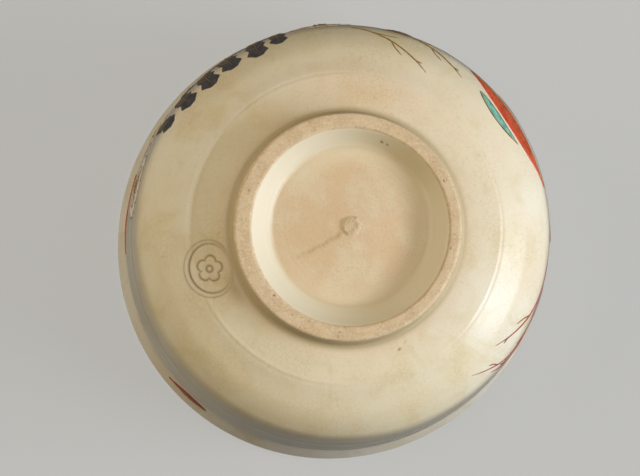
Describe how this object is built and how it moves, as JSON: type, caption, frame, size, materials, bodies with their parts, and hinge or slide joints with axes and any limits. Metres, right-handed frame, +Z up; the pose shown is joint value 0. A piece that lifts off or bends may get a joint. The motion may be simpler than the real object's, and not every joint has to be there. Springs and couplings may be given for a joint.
{
  "type": "tea bowl",
  "caption": "Footed tea bowl with an everted lip, turned foot ring, glossy cream glaze and raised enamel flowers and grass.",
  "frame": {"origin": "centre of the flat land of the foot ring, on the surface that the bowl stands on", "axes": "+Z up along the bowl's axis, from the foot to the lip; the bowl is widest at the lip along X"},
  "size_m": [0.1208, 0.1212, 0.0763],
  "materials": {
    "clay": "fired buff clay",
    "bare_clay": "bare, turned, dry",
    "cream_glaze": "clear cream glaze, glossy",
    "well_glaze": "thin pinkish glaze",
    "white_enamel": "raised, soft gloss",
    "black_enamel": "raised, soft gloss",
    "orange_enamel": "raised, soft gloss",
    "red_enamel": "raised, soft gloss",
    "turquoise_enamel": "raised, glassy",
    "gold_enamel": "burnished gold on enamel"
  },
  "bodies": {
    "root": {"clay_bowl": "clay", "dark_leaf_1": "black_enamel", "dark_leaf_10": "black_enamel", "dark_leaf_11": "black_enamel", "dark_leaf_2": "black_enamel", "dark_leaf_3": "black_enamel", "dark_leaf_4": "black_enamel", "dark_leaf_5": "black_enamel", "dark_leaf_6": "black_enamel", "dark_leaf_7": "black_enamel", "dark_leaf_8": "black_enamel", "dark_leaf_9": "black_enamel", "flower_eye_1": "gold_enamel", "flower_eye_2": "gold_enamel", "flower_eye_3": "gold_enamel", "flower_eye_4": "gold_enamel", "foot_boss": "bare_clay", "foot_ring": "bare_clay", "inner_glaze": "cream_glaze", "orange_blade_1": "orange_enamel", "orange_blade_2": "orange_enamel", "orange_blade_3": "orange_enamel", "outer_glaze": "cream_glaze", "red_blade_4": "red_enamel", "red_blade_5": "red_enamel", "turquoise_blade_6": "turquoise_enamel", "turquoise_blade_7": "turquoise_enamel", "turquoise_blade_8": "turquoise_enamel", "well_glaze": "well_glaze", "white_flower_1": "white_enamel", "white_flower_2": "white_enamel", "white_flower_3": "white_enamel", "white_flower_4": "white_enamel"}
  },
  "joints": []
}
